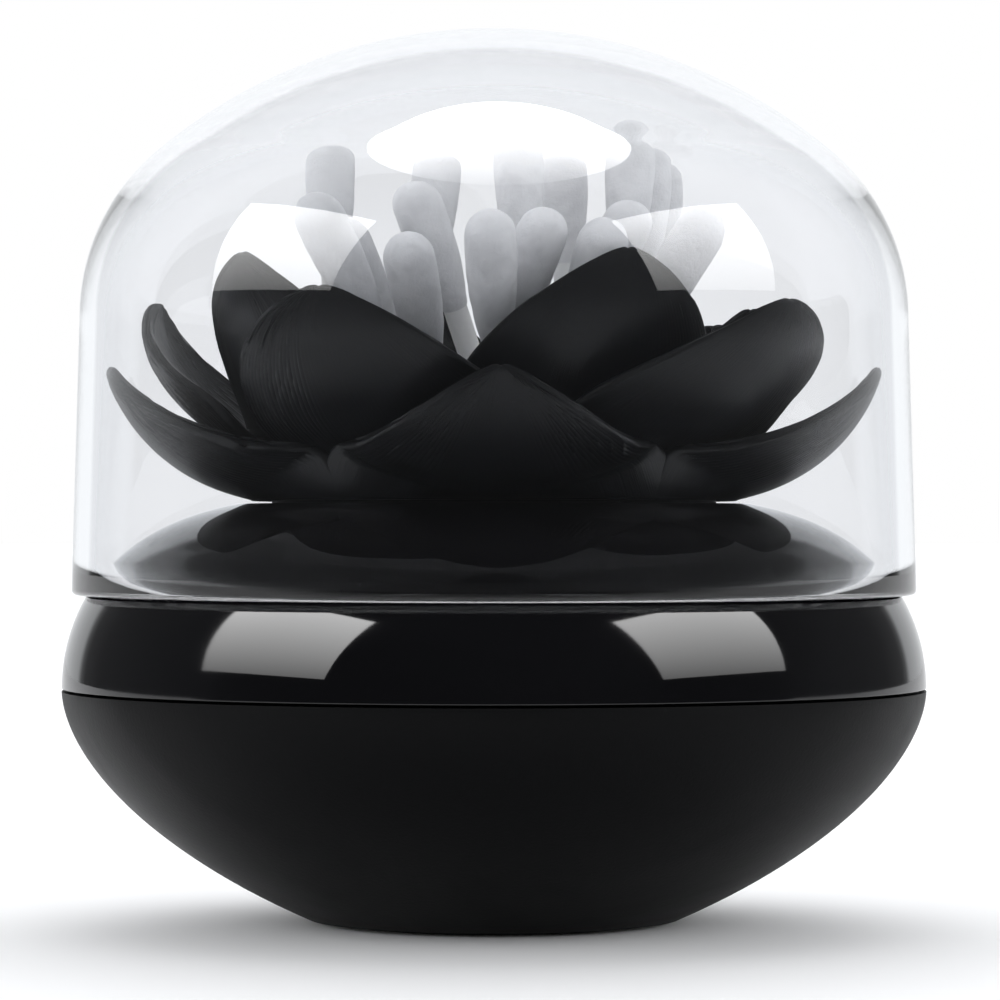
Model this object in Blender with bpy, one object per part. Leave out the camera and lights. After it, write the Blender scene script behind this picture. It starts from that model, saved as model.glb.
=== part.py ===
"""Cotton swab holder: a lotus flower carries the swabs under a clear dome lid, on a pebble-shaped body.

Lengths are in millimetres and become metres where a mesh is made. +Z is up, the body's axis is the Z axis,
and the foot pad rests on the plane z = 0. The front is towards -Y.
"""

import math

import bmesh
import bpy
import numpy as np
from mathutils import Matrix, Vector

MM = 0.001
SEGMENTS = 40  # facets round each turned piece

# Clearances
FIT = 0.3  # left between two pieces that touch on the real object
TIP_GAP = 0.35  # from the outer petals' tips to the lid's wall

# Body: a gloss upper shell snapped on a matt bowl, parted at the widest line
BODY_R = 43.5
SEAM_Z = 23.5
SEAM_LINE = 0.3  # height of the open line that shows at the parting
SHELL_RISE = 19.9  # from the parting to where the shell's curve would close
SHELL_FULLNESS = 4.3  # a higher power gives a squarer shoulder
SHELL_WALL = 2.0
BOWL_DEPTH = 28.6  # from the parting to where the bowl's curve would close
BOWL_FULLNESS = 1.38
BOWL_FLATNESS = 1.77
BOWL_WALL = 2.2
LIP_HEIGHT = 2.6  # the bowl's lip, which centres the shell
LIP_WALL = 1.3
SNAP_DEPTH = 0.5  # bead on the lip and groove in the shell
SNAP_RISE = 1.3  # from the parting to the bead
SNAP_HALF = 0.5

# Foot
FOOT_LIFT = 0.4  # the bowl's underside above the table
PAD_R = 16.2
PAD_T = 1.0
FLOOR_T = 2.0  # the bowl's floor above the pad

# Swab cup, which hangs by its flange and is centred in a ring on the bowl's floor
CUP_R = 21.0  # inside, at the mouth
CUP_DRAFT = 0.4  # how much less the radius is at the floor
CUP_WALL = 1.5
CUP_CORNER = 1.5
CUP_LIFT = 1.0  # the cup's underside above the bowl's wall
CUP_FLANGE_T = 1.2
CENTRING_WALL = 1.4
CENTRING_GRIP = 2.6  # how far the ring reaches up the cup
COLLAR_WALL = 1.4  # sleeve under the shell's top, round the cup
COLLAR_DEPTH = 5.0

# Flower: three moulded rings of petals, stacked round the cup
RING_W = 2.2
RING_TAPER = 0.25  # how much narrower a ring gets per unit of height below its top
RING_HEIGHTS = {"outer": 1.8, "middle": 4.0, "inner": 2.0}
PETAL_T = 1.3
PETAL_TIP_T = 1.0
PETAL_HALF_WIDTHS = {"outer": 16.0, "middle": 15.6, "inner": 16.0}
ROOT_DROP = 0.45  # from a ring's top to the top of its petals' roots

# Swabs
SWAB_LENGTH = 73.0
HEAD_R = 2.5
HEAD_LENGTH = 15.0
STICK_R = 1.2
SWAB_SIDES = 8

# Lid
HEADROOM = 4.9  # from an upright swab to the inside of the crown
CROWN_T = 4.0
CROWN_R = 52.8
CROWN_INNER_R = 53.3
SHOULDER_R = 21.7
SHOULDER_INNER_R = 18.5
RIM_OVERHANG = 1.54  # how far the rim's outside stands out beyond the shell that carries it
LID_DRAFT = 0.8  # how much less the radius is where the shoulder starts
LID_WALL = 2.05  # at the rim
SHOULDER_WALL = 2.4  # where the shoulder starts, from where the wall grows evenly to the crown
RIM_Z = 33.0
RIM_ROUND = 0.5
RIM_SEAT = 1.5  # height of the bevel that sits on the shell


def bezier(points, t):
    """A point on the cubic curve with these four control points."""
    a, b, c, d = (np.array(p, float) for p in points)
    s = 1 - t
    return a * s**3 + 3 * b * s * s * t + 3 * c * s * t * t + d * t**3


def arc(centre, radius, start, end, steps):
    """Points of a circular arc in the profile plane. Angles are in degrees from the outward direction."""
    angles = np.radians(np.linspace(start, end, steps + 1))
    return [(centre[0] + radius * math.cos(a), centre[1] + radius * math.sin(a)) for a in angles]


def shell_r(z):
    """Radius of the shell's outside at a height."""
    rise = (z - SEAM_Z) / SHELL_RISE
    return BODY_R * max(1 - rise * rise, 0) ** (1 / SHELL_FULLNESS)


def shell_z(r):
    """Height of the shell's outside at a radius."""
    return SEAM_Z + SHELL_RISE * math.sqrt(1 - (r / BODY_R) ** SHELL_FULLNESS)


def bowl_r(z):
    """Radius of the bowl's outside at a height."""
    drop = (SEAM_Z - z) / BOWL_DEPTH
    return BODY_R * (1 - drop**BOWL_FLATNESS) ** (1 / BOWL_FULLNESS)


def offset_inwards(points, distance):
    """The profile moved towards the axis side by a wall's thickness. The points run from the bottom up."""
    moved = []
    for i, (r, z) in enumerate(points):
        before, after = points[max(i - 1, 0)], points[min(i + 1, len(points) - 1)]
        along = Vector((after[0] - before[0], after[1] - before[1])).normalized()
        moved.append((r - along.y * distance, z + along.x * distance))
    return moved


# Places that follow from the sizes
PARTING_LOW = SEAM_Z - SEAM_LINE / 2
PARTING_HIGH = SEAM_Z + SEAM_LINE / 2
CUP_OUTER_R = CUP_R + CUP_WALL
RING_R = CUP_OUTER_R + FIT
RING_OUTER_R = RING_R + RING_W
SEAT_R = RING_OUTER_R + 2 * FIT
SEAT_Z = shell_z(SEAT_R)
PAD_TOP = PAD_T
RECESS_TOP = PAD_T + FIT
BOWL_FLOOR = RECESS_TOP + FLOOR_T


def ring_bases():
    """Height of each petal ring's underside, and of the cup's flange on top of them."""
    bases = {}
    z = SEAT_Z + FIT
    for name, height in RING_HEIGHTS.items():
        bases[name] = z
        z += height + FIT
    bases["flange"] = z
    return bases


RING_BASE = ring_bases()
CUP_MOUTH = RING_BASE["flange"] + CUP_FLANGE_T
PETAL_ROOT_R = RING_OUTER_R - PETAL_T / 2
FLANGE_R = PETAL_ROOT_R - PETAL_T / 2 - FIT


def bowl_outer_curve(steps=11):
    """The bowl's outside from its foot to the parting, with closer points where it turns under the rim."""
    shares = [math.sin(math.radians(90 * i / steps)) for i in range(steps + 1)]
    heights = [FOOT_LIFT + (PARTING_LOW - FOOT_LIFT) * s for s in shares]
    return [(bowl_r(z), z) for z in heights]


def bowl_inner_curve():
    """The part of the bowl's inside between its flat floor and its lip."""
    inside = offset_inwards(bowl_outer_curve(), BOWL_WALL)
    return [p for p in inside if BOWL_FLOOR < p[1] < PARTING_LOW - LIP_HEIGHT]


def bowl_inner_z(r):
    """Height of the bowl's inside at a radius."""
    inside = bowl_inner_curve()
    return float(np.interp(r, [p[0] for p in inside], [p[1] for p in inside]))


CENTRING_OUTER_R = CUP_OUTER_R + FIT + CENTRING_WALL
CUP_BASE = bowl_inner_z(CENTRING_OUTER_R) + CUP_LIFT
CUP_FLOOR = CUP_BASE + CUP_WALL
LID_TOP = CUP_FLOOR + SWAB_LENGTH + HEADROOM + CROWN_T
LID_R = shell_r(RIM_Z) + RIM_OVERHANG  # at the rim


def lid_curve(wall_r, top, crown_r, shoulder_r, crown_steps, shoulder_steps):
    """Shoulder and crown of the lid, from the wall up to the axis, as two arcs that run on smoothly."""
    shoulder_x = wall_r - shoulder_r
    crown_z = top - crown_r
    apart = crown_r - shoulder_r
    shoulder_z = crown_z + math.sqrt(apart * apart - shoulder_x * shoulder_x)
    turn = math.degrees(math.atan2(shoulder_z - crown_z, shoulder_x))
    shoulder = arc((shoulder_x, shoulder_z), shoulder_r, 0, turn, shoulder_steps)
    crown = arc((0, crown_z), crown_r, turn, 90, crown_steps)
    crown[-1] = (0.0, top)
    return shoulder + crown[1:]


def lid_outer_curve(crown_steps=6, shoulder_steps=5):
    return lid_curve(LID_R - LID_DRAFT, LID_TOP, CROWN_R, SHOULDER_R, crown_steps, shoulder_steps)


def lid_inner_curve(crown_steps=6, shoulder_steps=5, inset=0.0):
    """The lid's inside, or a curve that keeps an even distance from it."""
    wall_r = LID_R - LID_DRAFT - SHOULDER_WALL - inset
    top = LID_TOP - CROWN_T - inset
    crown_r, shoulder_r = CROWN_INNER_R - inset, SHOULDER_INNER_R - inset
    return lid_curve(wall_r, top, crown_r, shoulder_r, crown_steps, shoulder_steps)


def lid_inner_r(z):
    """Radius of the lid's inside at a height."""
    curve = [(LID_R - LID_WALL, RIM_Z)] + lid_inner_curve()
    return float(np.interp(z, [p[1] for p in curve], [p[0] for p in curve]))


def lid_reach(z, radius):
    """How far from the axis balls of this radius may reach at a height without meeting the lid."""
    inset = radius + FIT
    curve = lid_inner_curve(40, 20, inset)
    return np.interp(z, [p[1] for p in curve], [p[0] for p in curve]) + inset


class Petal:
    """One petal's place in its ring. A moulded flower varies its petals a little, so each has its own set."""

    def __init__(self, azimuth, turn=0.0, broad=1.0, droop=0.0):
        self.azimuth = azimuth  # of the root, in degrees
        self.turn = turn  # by how many degrees the tip is turned from the root
        self.broad = broad
        self.droop = droop  # how far the tip hangs below the tier's middle line


class Tier:
    """One ring of petals. A petal's middle line is a curve from its root in the ring to its tip."""

    def __init__(self, name, petals, reach, taper, tip_power, hollow, root_fade):
        self.name = name
        self.petals = petals
        self.half_width = PETAL_HALF_WIDTHS[name]
        self.taper = taper
        self.tip_power = tip_power
        self.hollow = hollow
        self.root_fade = root_fade  # share of the length over which the cross-section becomes hollow
        root = np.array((PETAL_ROOT_R, RING_BASE[name] + RING_HEIGHTS[name] - ROOT_DROP - PETAL_T / 2))
        control = [root] + [root + np.array(step) for step in reach]
        fine = np.array([bezier(control, t) for t in np.linspace(0, 1, 81)])
        run = np.concatenate([[0], np.cumsum(np.linalg.norm(np.diff(fine, axis=0), axis=1))])
        self.fine, self.run = fine, run / run[-1]

    def middle(self, t):
        """Point of the middle line at a share of its length, and the direction square to it, up and inwards."""
        point = np.array([np.interp(t, self.run, self.fine[:, k]) for k in (0, 1)])
        ahead = np.array([np.interp(min(t + 0.01, 1), self.run, self.fine[:, k]) for k in (0, 1)])
        behind = np.array([np.interp(max(t - 0.01, 0), self.run, self.fine[:, k]) for k in (0, 1)])
        along = (ahead - behind) / np.linalg.norm(ahead - behind)
        return point, np.array((-along[1], along[0]))

    def width(self, t):
        """Half the petal's width at a share of its length."""
        root = 0.78 + 0.22 * math.sin(min(t / 0.35, 1) * math.pi / 2)
        return self.half_width * root * (1 - t**self.taper) ** self.tip_power

    def place(self, petal, t, across, side):
        """A point of a petal's surface. across runs from -1 to 1, and side is -1 outside and 1 inside."""
        (r, z), (nr, nz) = self.middle(t)
        wide = across * self.width(t) * petal.broad
        grown = min(t / self.root_fade, 1)
        lift = self.hollow * wide * wide * grown * grown * (3 - 2 * grown)
        off = lift + side * (PETAL_T + (PETAL_TIP_T - PETAL_T) * t) / 2
        angle = math.radians(petal.azimuth + petal.turn * t * t) + wide / r
        radius = r + nr * off
        height = z + nz * off - petal.droop * t * t
        return Vector((radius * math.cos(angle), radius * math.sin(angle), height))


def outer_tip_reach():
    """How far the outer petals' tips stand out from their root, so that they clear the lid."""
    tip_z = RING_BASE["outer"] + 12.8
    return lid_inner_r(tip_z) - TIP_GAP - PETAL_TIP_T / 2 - PETAL_ROOT_R


OUTER_REACH = outer_tip_reach()
TIERS = [
    Tier(
        "outer",
        [Petal(57), Petal(126), Petal(195), Petal(271, broad=1.06, droop=0.6), Petal(346)],
        [(6.3, 0.9), (OUTER_REACH - 1.9, 5.2), (OUTER_REACH, 12.2)],
        taper=1.25,
        tip_power=0.75,
        hollow=0.016,
        root_fade=0.14,
    ),
    Tier(
        "middle",
        [Petal(173), Petal(246, -3.5), Petal(315, 9.5, 1.06, 0.8), Petal(38), Petal(106)],
        [(5.6, 2.6), (12.6, 8.4), (10.6, 15.0)],
        taper=2.6,
        tip_power=0.75,
        hollow=0.006,
        root_fade=0.45,
    ),
    Tier(
        "inner",
        [Petal(27), Petal(117), Petal(211, -4.5, 1.12), Petal(292, 5.5, 0.9, 0.4)],
        [(0.3, 2.6), (6.3, 9.3), (3.0, 17.2)],
        taper=2.2,
        tip_power=0.8,
        hollow=0.004,
        root_fade=0.45,
    ),
]

# Swabs, each aimed by hand as foot x, foot y, tip x, tip y and how far its foot is held up by its neighbours.
# They are then settled until none touches another. The front ones give way least, because they are seen best.
FRONT_SWABS = [
    (2.0, 10.5, 0.0, -26.0, 0.0),
    (-15.5, 9.0, 5.0, -21.0, 0.0),
    (-5.0, 13.5, 10.0, -22.0, 0.0),
    (2.0, 18.0, -9.0, -20.5, 0.0),
    (8.5, 16.0, -14.0, -12.0, 0.0),
    (-14.0, -6.0, 19.5, -18.0, 0.0),
    (13.0, 9.0, -7.5, -12.5, 0.5),
    (11.5, -0.5, -16.5, -20.0, 0.5),
    (-16.5, 2.0, 14.0, -15.0, 0.0),
]
BACK_SWABS = [
    (-13.5, -12.0, -15.5, -6.5, 0.5),
    (9.5, -15.0, 13.0, -10.0, 1.0),
    (13.5, -11.5, 15.0, -5.0, 1.0),
    (16.5, 5.0, 17.5, 8.5, 0.5),
    (-9.5, -15.5, -5.5, -3.5, 0.5),
    (4.0, -16.5, 1.5, -10.0, 0.5),
    (8.0, -9.5, 7.0, -1.0, 0.5),
]
SWAB_AIMS = FRONT_SWABS + BACK_SWABS
FRONT_GIVE = 0.3
SWAB_STATIONS = 29
SETTLE_ROUNDS = 500
SETTLE_MARGIN = 0.05


def cup_r(z):
    """Radius of the cup's inside at a height."""
    share = np.clip((z - CUP_FLOOR) / (CUP_MOUTH - CUP_FLOOR), 0, 1)
    return CUP_R - CUP_DRAFT * (1 - share)


def petal_limit(tier, azimuth, z, radius):
    """How far from the axis a ball may reach before it meets this tier's petals."""
    shares = np.linspace(0.02, 1, 40)
    middles = np.array([tier.middle(t)[0] for t in shares])
    widths = np.array([tier.width(t) for t in shares])
    inside = middles[:, 0] - PETAL_T / 2 - tier.hollow * widths**2
    low = z - radius
    beside = np.interp(low, middles[:, 1], widths) + radius + FIT
    spread = np.degrees(beside / np.interp(low, middles[:, 1], middles[:, 0]))
    reach = np.minimum(np.interp(z, middles[:, 1], inside), np.interp(low, middles[:, 1], inside))
    off = np.full(z.shape, 360.0)
    for petal in tier.petals:
        turned_by = petal.turn * np.interp(low, middles[:, 1], shares) ** 2
        apart = np.abs((azimuth - petal.azimuth - turned_by + 180) % 360 - 180)
        off = np.minimum(off, apart / petal.broad)
    return np.where((off < spread) & (low < middles[-1, 1]), reach, np.inf)


def swab_limit(points, radius):
    """How far from the axis each ball of a swab may reach."""
    z = points[..., 2]
    azimuth = np.degrees(np.arctan2(points[..., 1], points[..., 0]))
    lid = lid_reach(z, HEAD_R + 0.1)
    flower = np.minimum(petal_limit(TIERS[2], azimuth, z, radius), petal_limit(TIERS[1], azimuth, z, radius))
    return np.where(z - radius < CUP_MOUTH, cup_r(z), np.minimum(flower, lid))


def swab_balls(foot, tip):
    """Centres and radii of balls along each swab, and each ball's share of the way from foot to tip."""
    share = np.linspace(0, 1, SWAB_STATIONS)
    span = SWAB_LENGTH - 2 * HEAD_R
    lean = ((tip - foot) ** 2).sum(1)
    rise = np.sqrt(span * span - lean)
    flat = foot[:, None] + (tip - foot)[:, None] * share[None, :, None]
    held_up = np.array(SWAB_AIMS)[:, 4]
    z = (CUP_FLOOR + FIT + HEAD_R + held_up)[:, None] + rise[:, None] * share[None]
    from_end = np.minimum(share, 1 - share) * span + HEAD_R
    swell = np.sqrt(np.clip((HEAD_LENGTH - from_end) / 5.0, 0, 1))
    radius = STICK_R + (HEAD_R - STICK_R) * swell
    return np.concatenate([flat, z[..., None]], -1), radius, share


def settled_swabs():
    """Feet and tips of the swabs, pushed apart from their aims until they all clear each other and the holder."""
    aims = np.array(SWAB_AIMS)
    foot, tip = aims[:, :2].copy(), aims[:, 2:4].copy()
    give = np.array([FRONT_GIVE] * len(FRONT_SWABS) + [1.0] * len(BACK_SWABS))
    one, two = np.triu_indices(len(aims), 1)
    for turn in range(SETTLE_ROUNDS):
        pull = 0.04 * max(0.0, 1 - turn / (SETTLE_ROUNDS * 0.8))
        foot += (aims[:, :2] - foot) * pull
        tip += (aims[:, 2:4] - tip) * pull
        balls, radius, share = swab_balls(foot, tip)
        between = balls[one][:, :, None] - balls[two][:, None]
        need = radius[:, None] + radius[None] + FIT + SETTLE_MARGIN
        slack = np.linalg.norm(between, axis=-1) - need
        a, b = np.unravel_index(slack.reshape(len(one), -1).argmin(1), need.shape)
        worst = slack[np.arange(len(one)), a, b]
        foot_push, tip_push = np.zeros_like(foot), np.zeros_like(tip)
        for k in np.where(worst < 0)[0]:
            away = between[k, a[k], b[k], :2]
            away = away / max(np.linalg.norm(away), 1e-6)
            both = give[one[k]] + give[two[k]]
            for swab, at, sign in ((one[k], share[a[k]], 1), (two[k], share[b[k]], -1)):
                push = -sign * away * worst[k] * give[swab] / both
                spread = at * at + (1 - at) ** 2
                foot_push[swab] += push * (1 - at) / spread
                tip_push[swab] += push * at / spread
        foot += foot_push * 0.6
        tip += tip_push * 0.6
        balls, radius, share = swab_balls(foot, tip)
        out = np.linalg.norm(balls[..., :2], axis=-1)
        over = out + radius + FIT + SETTLE_MARGIN - swab_limit(balls, radius)
        for k in np.where(over.max(1) > 0)[0]:
            at = over[k].argmax()
            spread = share[at] ** 2 + (1 - share[at]) ** 2
            back = balls[k, at, :2] / max(out[k, at], 1e-6) * over[k, at]
            foot[k] -= back * (1 - share[at]) / spread
            tip[k] -= back * share[at] / spread
    balls, _, _ = swab_balls(foot, tip)
    return balls[:, 0], balls[:, -1]


def clear_scene():
    for obj in list(bpy.data.objects):
        bpy.data.objects.remove(obj)


def make_material(name, colour, roughness, transmission=0.0):
    material = bpy.data.materials.new(name)
    material.use_nodes = True
    shader = material.node_tree.nodes["Principled BSDF"]
    shader.inputs["Base Color"].default_value = (*colour, 1)
    shader.inputs["Roughness"].default_value = roughness
    shader.inputs["Metallic"].default_value = 0
    shader.inputs["Transmission Weight"].default_value = transmission
    return material


def new_object(name, bm, material, parent=None):
    """An object from a bmesh whose lengths are already in metres."""
    bmesh.ops.recalc_face_normals(bm, faces=bm.faces)
    mesh = bpy.data.meshes.new(name)
    bm.to_mesh(mesh)
    bm.free()
    mesh.shade_smooth()
    mesh.set_sharp_from_angle(angle=math.radians(35))
    mesh.materials.append(material)
    obj = bpy.data.objects.new(name, mesh)
    bpy.context.collection.objects.link(obj)
    obj.parent = parent
    return obj


def turned(profile, segments=SEGMENTS):
    """A closed profile of (radius, height) points turned about the Z axis."""
    bm = bmesh.new()
    verts = [bm.verts.new((r * MM, 0, z * MM)) for r, z in profile]
    edges = [bm.edges.new((v, verts[(i + 1) % len(verts)])) for i, v in enumerate(verts)]
    on_axis = [e for e in edges if all(abs(v.co.x) < 1e-9 for v in e.verts)]
    for edge in on_axis:
        bm.edges.remove(edge)
    bmesh.ops.spin(
        bm,
        geom=list(bm.verts) + list(bm.edges),
        cent=(0, 0, 0),
        axis=(0, 0, 1),
        angle=math.tau,
        steps=segments,
        use_merge=True,
    )
    bmesh.ops.remove_doubles(bm, verts=bm.verts, dist=1e-6)
    return bm


def lid_profile():
    """From the rim's outside over the crown to the axis, back down the inside and round the seat."""
    outer_rim = arc((LID_R - RIM_ROUND, RIM_Z + RIM_ROUND), RIM_ROUND, -90, 0, 2)
    seat_low = (shell_r(RIM_Z) + 1.3 * FIT, RIM_Z)
    wall = LID_R - LID_WALL
    seat_high = (wall, RIM_Z + RIM_SEAT)
    inner = lid_inner_curve()
    return outer_rim + lid_outer_curve() + inner[::-1] + [seat_high, seat_low]


def shell_profile():
    """The gloss shell: skirt with its snap groove, rounded top, seat for the petals and sleeve round the cup."""
    steps = 9
    shares = [math.sin(math.radians(90 * i / steps)) ** 1.0 for i in range(steps + 1)]
    outside = [(shell_r(z), z) for z in (PARTING_HIGH + (SEAT_Z - PARTING_HIGH) * s for s in shares)]
    outside[-1] = (SEAT_R, SEAT_Z)
    inside = offset_inwards(outside, SHELL_WALL)
    lip_top = PARTING_LOW + LIP_HEIGHT
    skirt_r = lip_outer_r() + FIT
    groove = PARTING_LOW + SNAP_RISE
    snap = [
        (skirt_r, PARTING_HIGH),
        (skirt_r, groove - SNAP_HALF - FIT),
        (skirt_r + SNAP_DEPTH, groove),
        (skirt_r, groove + SNAP_HALF + FIT),
        (skirt_r, lip_top + FIT),
    ]
    collar_r = RING_R + COLLAR_WALL
    under = [p for p in inside if p[1] > lip_top + 1.0 and p[0] > collar_r + 1.0]
    top = SEAT_Z - SHELL_WALL
    collar = [(collar_r, top), (collar_r, top - COLLAR_DEPTH), (RING_R, top - COLLAR_DEPTH), (RING_R, SEAT_Z)]
    return outside[::-1] + snap + under + collar


def lip_outer_r():
    """The bowl's lip fits inside the shell, where the shell is narrowest beside it."""
    return shell_r(PARTING_LOW + LIP_HEIGHT) - SHELL_WALL - FIT


def bowl_profile():
    """The matt bowl: recess for the pad, rounded outside, snap lip, inside and the ring that centres the cup."""
    lip_r = lip_outer_r()
    lip_top = PARTING_LOW + LIP_HEIGHT
    bead = PARTING_LOW + SNAP_RISE
    recess_r = PAD_R + FIT
    foot = [(0, RECESS_TOP), (recess_r, RECESS_TOP), (recess_r, FOOT_LIFT)]
    lip = [
        (lip_r, PARTING_LOW),
        (lip_r, bead - SNAP_HALF),
        (lip_r + SNAP_DEPTH, bead),
        (lip_r, bead + SNAP_HALF),
        (lip_r, lip_top),
        (lip_r - LIP_WALL, lip_top),
    ]
    inside = [p for p in bowl_inner_curve()[::-1] if p[0] > CENTRING_OUTER_R + 1.0]
    shelf = [(lip_r - LIP_WALL, inside[0][1] + 1.5)]
    ring_top = CUP_BASE + CENTRING_GRIP
    ring_r = CENTRING_OUTER_R - CENTRING_WALL
    ring = [
        (CENTRING_OUTER_R, bowl_inner_z(CENTRING_OUTER_R)),
        (CENTRING_OUTER_R, ring_top),
        (ring_r, ring_top),
        (ring_r, bowl_inner_z(ring_r)),
    ]
    floor = [(bowl_floor_r(), BOWL_FLOOR), (0, BOWL_FLOOR)]
    return foot + bowl_outer_curve() + lip + shelf + inside + ring + floor


def bowl_floor_r():
    """Where the bowl's flat floor meets its rounded inside."""
    inside = bowl_inner_curve()
    return inside[0][0] - (inside[0][1] - BOWL_FLOOR) * 1.8


def cup_profile():
    """The swab cup: straight drafted wall, rounded inner corner, and the flange that holds the petal rings down."""
    floor_r = CUP_R - CUP_DRAFT
    corner = arc((floor_r - CUP_CORNER, CUP_FLOOR + CUP_CORNER), CUP_CORNER, -90, 0, 3)
    flange = RING_BASE["flange"]
    return (
        [(0, CUP_FLOOR)]
        + corner
        + [
            (CUP_R, CUP_MOUTH),
            (FLANGE_R, CUP_MOUTH),
            (FLANGE_R, flange),
            (CUP_OUTER_R, flange),
            (floor_r + CUP_WALL, CUP_BASE + 0.8),
            (floor_r + CUP_WALL - 0.8, CUP_BASE),
            (0, CUP_BASE),
        ]
    )


def pad_profile():
    chamfer = 0.2
    return [(0, 0), (PAD_R - chamfer, 0), (PAD_R, chamfer), (PAD_R, PAD_TOP), (0, PAD_TOP)]


def petal_grid(bm, tier, petal):
    """One closed petal, added to a bmesh."""
    shares = [0, 0.14, 0.28, 0.42, 0.56, 0.7, 0.82, 0.92, 0.98, 1]
    columns = 6
    sheets = []
    for side in (-1, 1):
        rows = []
        for t in shares:
            row = []
            for c in range(columns + 1):
                point = tier.place(petal, t, 2 * c / columns - 1, side)
                row.append(bm.verts.new(point * MM))
            rows.append(row)
        sheets.append(rows)
    low, high = sheets
    for i in range(len(shares) - 1):
        for rows in sheets:
            for c in range(columns):
                bm.faces.new((rows[i][c], rows[i][c + 1], rows[i + 1][c + 1], rows[i + 1][c]))
        for c in (0, columns):
            bm.faces.new((low[i][c], low[i + 1][c], high[i + 1][c], high[i][c]))
    for c in range(columns):
        bm.faces.new((low[0][c], low[0][c + 1], high[0][c + 1], high[0][c]))


def make_tier(tier, material, parent):
    """A ring of petals moulded in one piece."""
    base = RING_BASE[tier.name]
    top = base + RING_HEIGHTS[tier.name]
    low_r = RING_OUTER_R - RING_TAPER * RING_HEIGHTS[tier.name]
    profile = [(RING_R, base), (low_r, base), (RING_OUTER_R, top), (RING_R, top)]
    ring = new_object(f"{tier.name}_petals", turned(profile), material, parent)
    bm = bmesh.new()
    for petal in tier.petals:
        petal_grid(bm, tier, petal)
    bmesh.ops.remove_doubles(bm, verts=bm.verts, dist=1e-6)
    petals = new_object(f"{tier.name}_petal_shapes", bm, material, parent)
    petals.hide_render = True
    petals.display_type = "WIRE"
    union = ring.modifiers.new("Petals", "BOOLEAN")
    union.operation = "UNION"
    union.solver = "EXACT"
    union.object = petals
    return ring


def swab_mesh(material):
    """A swab lying along +Z from its lower end, with a rounded cotton head at each end."""
    half = [(0, 0), (0.62, 0.2), (1, 0.95), (0.9, 3.8)]
    head = [(HEAD_R * a, HEAD_R * b) for a, b in half] + [(STICK_R, HEAD_LENGTH)]
    other = [(r, SWAB_LENGTH - z) for r, z in head[::-1]]
    bm = turned(head + other, SWAB_SIDES)
    bmesh.ops.recalc_face_normals(bm, faces=bm.faces)
    mesh = bpy.data.meshes.new("swab")
    bm.to_mesh(mesh)
    bm.free()
    mesh.shade_smooth()
    mesh.materials.append(material)
    return mesh


def make_swabs(material, parent):
    mesh = swab_mesh(material)
    feet, tips = settled_swabs()
    for i, (foot, tip) in enumerate(zip(feet, tips)):
        foot, tip = Vector(foot), Vector(tip)
        along = (tip - foot).normalized()
        obj = bpy.data.objects.new(f"swab_{i + 1:02d}", mesh)
        bpy.context.collection.objects.link(obj)
        obj.parent = parent
        turn = along.to_track_quat("Z", "Y").to_matrix().to_4x4()
        obj.matrix_local = Matrix.Translation((foot - along * HEAD_R) * MM) @ turn


def make_empty(name, height, parent=None):
    empty = bpy.data.objects.new(name, None)
    empty.location = (0, 0, height * MM)
    bpy.context.collection.objects.link(empty)
    empty.parent = parent
    return empty


def main():
    clear_scene()
    gloss = make_material("gloss_black", (0.004, 0.004, 0.005), 0.06)
    matt = make_material("matt_black", (0.006, 0.006, 0.007), 0.45)
    petal = make_material("petal_black", (0.012, 0.013, 0.015), 0.38)
    inner = make_material("cup_black", (0.012, 0.012, 0.013), 0.5)
    rubber = make_material("foot_rubber", (0.02, 0.02, 0.02), 0.8)
    clear = make_material("clear_plastic", (0.97, 0.98, 1.0), 0.02, transmission=1.0)
    cotton = make_material("cotton", (0.9, 0.9, 0.9), 0.9)

    base = make_empty("base", 0)
    lift = make_empty("lid_lift", 0)
    new_object("foot_pad", turned(pad_profile()), rubber, base)
    new_object("lower_bowl", turned(bowl_profile()), matt, base)
    new_object("upper_shell", turned(shell_profile()), gloss, base)
    new_object("swab_cup", turned(cup_profile()), inner, base)
    for tier in TIERS:
        make_tier(tier, petal, base)
    make_swabs(cotton, base)
    new_object("clear_lid", turned(lid_profile()), clear, lift)


main()
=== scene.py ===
"""Cotton swab holder: turned body, clear lid, a lotus flower of ribbed petals, and cotton swabs in the cup.

Sizes are in millimetres and repeat those that the frame was made with. +Z is up, and the front faces -Y.
"""
import math

import bpy
import numpy as np
from mathutils import Matrix, Vector


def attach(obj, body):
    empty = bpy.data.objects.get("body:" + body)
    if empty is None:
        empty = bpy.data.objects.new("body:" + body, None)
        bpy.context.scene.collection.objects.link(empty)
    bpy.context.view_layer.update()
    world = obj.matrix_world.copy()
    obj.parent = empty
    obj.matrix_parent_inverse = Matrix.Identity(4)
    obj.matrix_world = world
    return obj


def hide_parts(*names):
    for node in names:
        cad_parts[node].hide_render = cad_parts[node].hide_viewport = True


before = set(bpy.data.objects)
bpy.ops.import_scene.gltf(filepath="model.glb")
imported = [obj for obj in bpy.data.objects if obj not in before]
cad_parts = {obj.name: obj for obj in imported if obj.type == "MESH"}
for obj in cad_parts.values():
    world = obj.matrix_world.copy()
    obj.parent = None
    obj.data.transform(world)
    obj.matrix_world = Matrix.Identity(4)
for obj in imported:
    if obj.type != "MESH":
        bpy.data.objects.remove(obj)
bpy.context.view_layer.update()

MM = 0.001
TURN_STEPS = 128
MERGE = 1e-7  # metres; closer points of a new mesh are one point

# Clearances
FIT = 0.3
TIP_GAP = 0.35

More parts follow.
